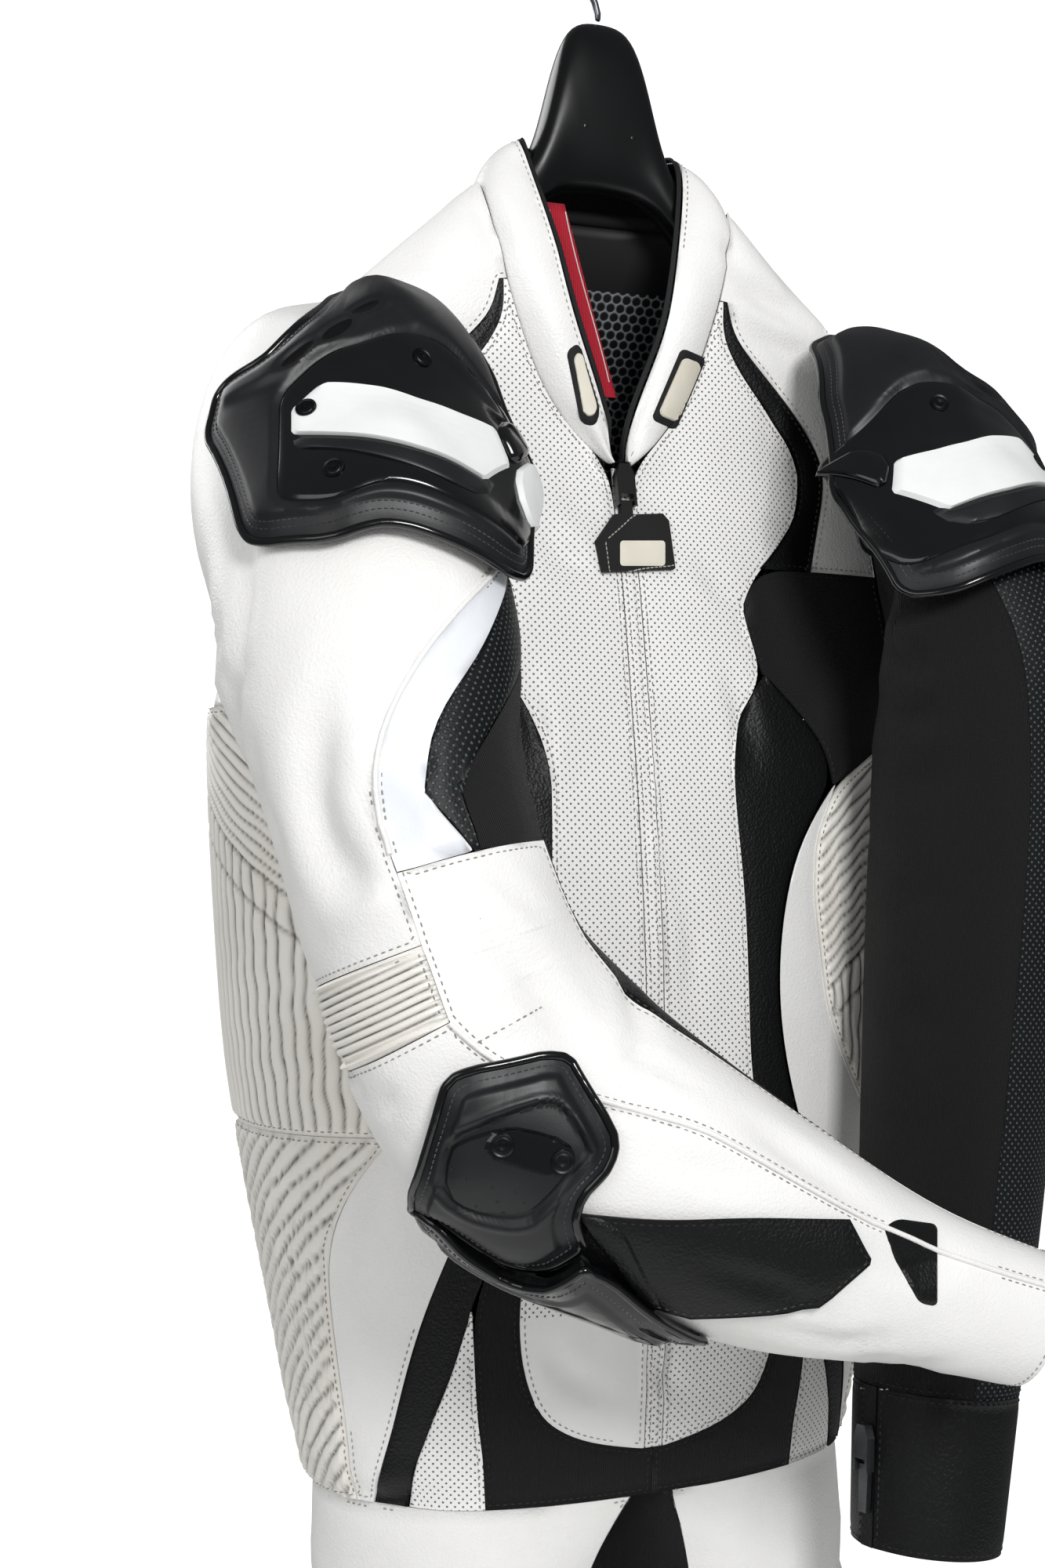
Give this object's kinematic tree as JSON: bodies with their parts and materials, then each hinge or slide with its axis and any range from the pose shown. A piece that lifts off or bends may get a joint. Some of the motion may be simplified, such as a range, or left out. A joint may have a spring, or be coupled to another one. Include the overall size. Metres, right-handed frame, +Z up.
{
  "type": "motorcycle race suit on a hanger",
  "caption": "One-piece leather race suit hanging zipped half open on a broad hanger, one forearm folded across the belly.",
  "frame": {"origin": "the top of the inside of the hanger's hook, where a rail carries it", "axes": "+Z up, the wearer faces -Y, so +X points to the wearer's left"},
  "size_m": [0.4923, 0.3869, 1.5543],
  "materials": {
    "white_leather": "smooth, slightly glossy coated leather",
    "black_leather": "grained black leather",
    "black_knit": "matte stretch knit",
    "pearl_leather": "pearl-coated leather",
    "moulded_plastic": "moulded, satin",
    "gloss_plastic": "polished moulded plastic",
    "hanger_plastic": "satin moulded",
    "steel": "plated",
    "red_ribbon": "woven ribbon"
  },
  "bodies": {
    "suit": {"back_lining": "black_knit", "chest_stretch_left": "black_knit", "chest_stretch_right": "black_knit", "collar": "white_leather", "collar_trim": "black_leather", "cuff_zip_slider": "steel", "elbow_cup_left": "moulded_plastic", "elbow_cup_right": "moulded_plastic", "elbow_plate_right": "gloss_plastic", "elbow_slider_left": "gloss_plastic", "elbow_slider_right": "gloss_plastic", "flank_accordion_left": "white_leather", "flank_accordion_right": "white_leather", "front_left": "white_leather", "front_right": "white_leather", "front_zip": "white_leather", "groin_stretch_left": "black_knit", "groin_stretch_right": "black_knit", "hanger_body": "hanger_plastic", "hanger_hook": "steel", "hip_accordion_left": "white_leather", "hip_accordion_right": "white_leather", "left_cuff": "black_leather", "left_cuff_zip": "steel", "left_sleeve_outer": "black_leather", "left_sleeve_stretch": "black_knit", "leg_inner_left": "black_knit", "leg_inner_right": "black_knit", "leg_outer_left": "white_leather", "leg_outer_right": "white_leather", "lower_back": "white_leather", "neck_loop": "red_ribbon", "right_elbow_accordion": "white_leather", "right_forearm": "white_leather", "right_forearm_back": "black_knit", "right_forearm_band": "black_leather", "right_forearm_crook": "white_leather", "right_forearm_strip": "black_leather", "right_sleeve_inner": "black_leather", "right_sleeve_outer": "white_leather", "right_sleeve_pearl": "pearl_leather", "right_sleeve_stretch": "black_knit", "shoulder_cup_left": "moulded_plastic", "shoulder_cup_right": "moulded_plastic", "shoulder_plate_left": "gloss_plastic", "shoulder_plate_right": "gloss_plastic", "shoulder_stripe_left": "black_leather", "shoulder_stripe_right": "black_leather", "side_panel_left": "black_leather", "side_panel_right": "black_leather", "side_white_left": "white_leather", "side_white_right": "white_leather", "thigh_inset_left": "white_leather", "thigh_inset_right": "white_leather", "upper_back": "white_leather", "yoke_left": "white_leather", "yoke_right": "white_leather", "zip_slider": "steel"},
    "front_zip_pull": {"zip_pull_tab": "gloss_plastic"},
    "cuff_zip_pull": {"cuff_zip_pull": "steel"}
  },
  "joints": [
    {"name": "front_zip_tab_hinge", "type": "hinge", "parent": "suit", "child": "front_zip_pull", "pos_m": [0, -0.0296, -0.33786], "axis": [-1, 0, 0], "range_deg": [0, 120]},
    {"name": "cuff_zip_tab_hinge", "type": "hinge", "parent": "suit", "child": "cuff_zip_pull", "pos_m": [0.0911, -0.12778, -0.84406], "axis": [-0.141, 0.9881, -0.0609], "range_deg": [0, 120]}
  ]
}
